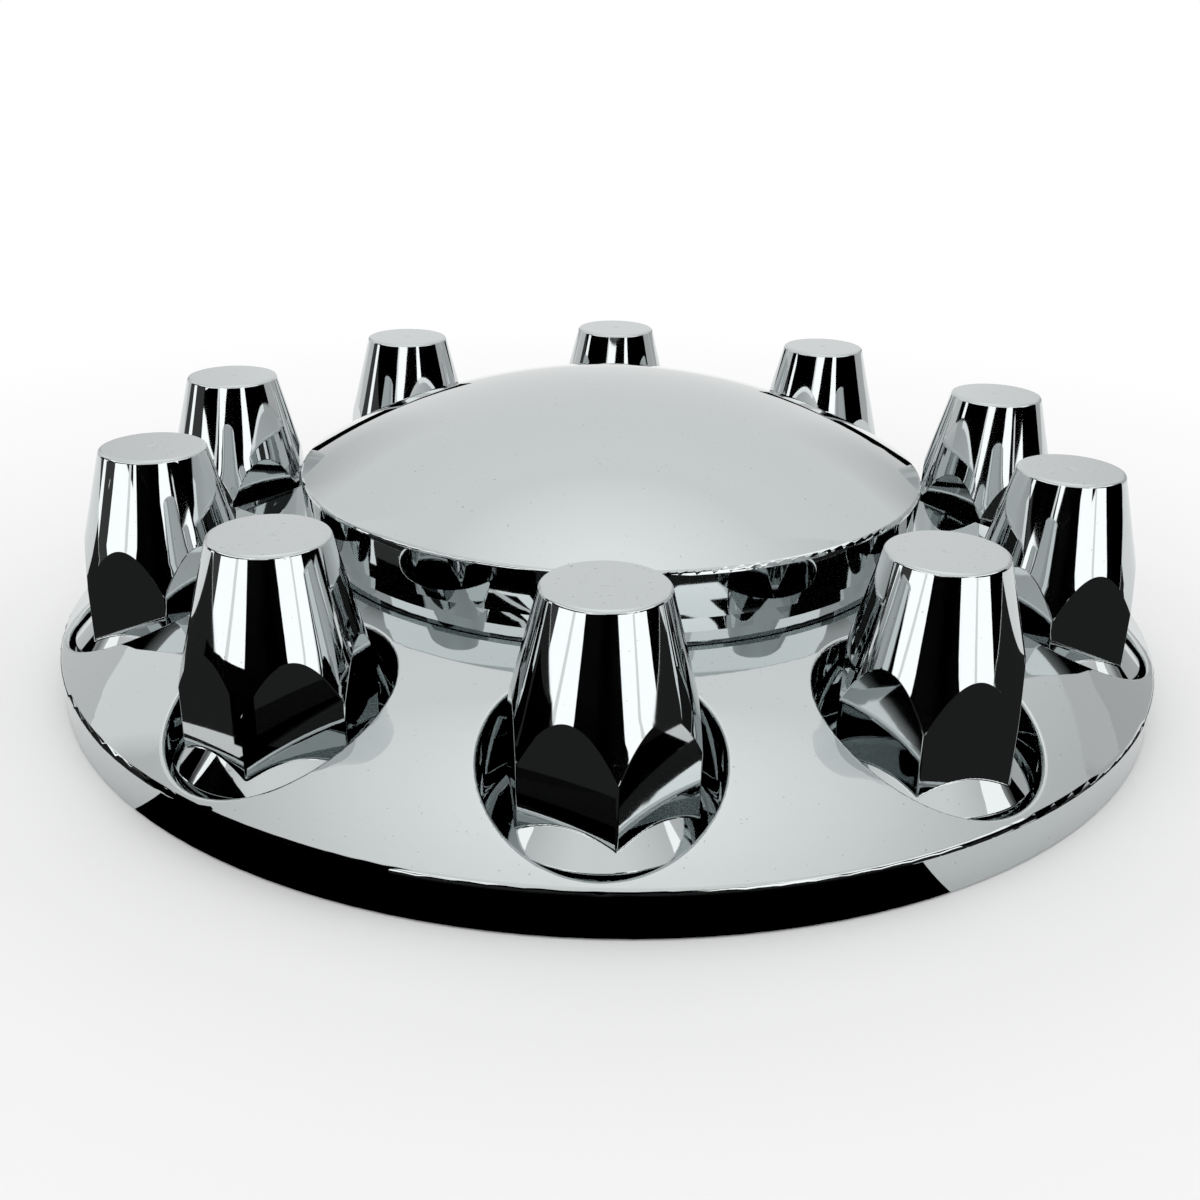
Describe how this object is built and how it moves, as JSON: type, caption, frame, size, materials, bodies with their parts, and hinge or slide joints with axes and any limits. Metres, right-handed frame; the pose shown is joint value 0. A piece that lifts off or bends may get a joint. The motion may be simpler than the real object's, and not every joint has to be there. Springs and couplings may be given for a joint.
{
  "type": "axle cover",
  "caption": "Chromed truck front-axle cover: convex ring plate with round nut pockets, domed pull-off hub cap and tapered hexagonal screw-on nut covers.",
  "frame": {"origin": "on the axle's axis, in the plane of the skirt's foot", "axes": "+Z along the axle, outwards from the wheel; -Y towards the first nut cover"},
  "size_m": [0.3522, 0.3522, 0.0863],
  "materials": {
    "chrome": "mirror",
    "sleeve_plastic": "fine moulded grain"
  },
  "bodies": {
    "cover_ring": {"cover_ring": "chrome", "nut_sleeve_01": "sleeve_plastic", "nut_sleeve_02": "sleeve_plastic", "nut_sleeve_03": "sleeve_plastic", "nut_sleeve_04": "sleeve_plastic", "nut_sleeve_05": "sleeve_plastic", "nut_sleeve_06": "sleeve_plastic", "nut_sleeve_07": "sleeve_plastic", "nut_sleeve_08": "sleeve_plastic", "nut_sleeve_09": "sleeve_plastic", "nut_sleeve_10": "sleeve_plastic"},
    "hub_cap": {"hub_cap": "chrome"},
    "nut_cover_01": {"nut_cover_01": "chrome"},
    "nut_cover_02": {"nut_cover_02": "chrome"},
    "nut_cover_03": {"nut_cover_03": "chrome"},
    "nut_cover_04": {"nut_cover_04": "chrome"},
    "nut_cover_05": {"nut_cover_05": "chrome"},
    "nut_cover_06": {"nut_cover_06": "chrome"},
    "nut_cover_07": {"nut_cover_07": "chrome"},
    "nut_cover_08": {"nut_cover_08": "chrome"},
    "nut_cover_09": {"nut_cover_09": "chrome"},
    "nut_cover_10": {"nut_cover_10": "chrome"}
  },
  "joints": [
    {"name": "hub_cap_pull", "type": "slide", "parent": "cover_ring", "child": "hub_cap", "axis": [0, 0, 1], "range_m": [0, 0.06]},
    {"name": "nut_cover_01_turn", "type": "hinge", "parent": "cover_ring", "child": "nut_cover_01", "pos_m": [0, -0.14288, 0.04], "axis": [0, 0, 1], "continuous": true},
    {"name": "nut_cover_02_turn", "type": "hinge", "parent": "cover_ring", "child": "nut_cover_02", "pos_m": [0.08398, -0.11559, 0.04], "axis": [0, 0, 1], "continuous": true},
    {"name": "nut_cover_03_turn", "type": "hinge", "parent": "cover_ring", "child": "nut_cover_03", "pos_m": [0.13588, -0.04415, 0.04], "axis": [0, 0, 1], "continuous": true},
    {"name": "nut_cover_04_turn", "type": "hinge", "parent": "cover_ring", "child": "nut_cover_04", "pos_m": [0.13588, 0.04415, 0.04], "axis": [0, 0, 1], "continuous": true},
    {"name": "nut_cover_05_turn", "type": "hinge", "parent": "cover_ring", "child": "nut_cover_05", "pos_m": [0.08398, 0.11559, 0.04], "axis": [0, 0, 1], "continuous": true},
    {"name": "nut_cover_06_turn", "type": "hinge", "parent": "cover_ring", "child": "nut_cover_06", "pos_m": [0, 0.14288, 0.04], "axis": [0, 0, 1], "continuous": true},
    {"name": "nut_cover_07_turn", "type": "hinge", "parent": "cover_ring", "child": "nut_cover_07", "pos_m": [-0.08398, 0.11559, 0.04], "axis": [0, 0, 1], "continuous": true},
    {"name": "nut_cover_08_turn", "type": "hinge", "parent": "cover_ring", "child": "nut_cover_08", "pos_m": [-0.13588, 0.04415, 0.04], "axis": [0, 0, 1], "continuous": true},
    {"name": "nut_cover_09_turn", "type": "hinge", "parent": "cover_ring", "child": "nut_cover_09", "pos_m": [-0.13588, -0.04415, 0.04], "axis": [0, 0, 1], "continuous": true},
    {"name": "nut_cover_10_turn", "type": "hinge", "parent": "cover_ring", "child": "nut_cover_10", "pos_m": [-0.08398, -0.11559, 0.04], "axis": [0, 0, 1], "continuous": true}
  ]
}
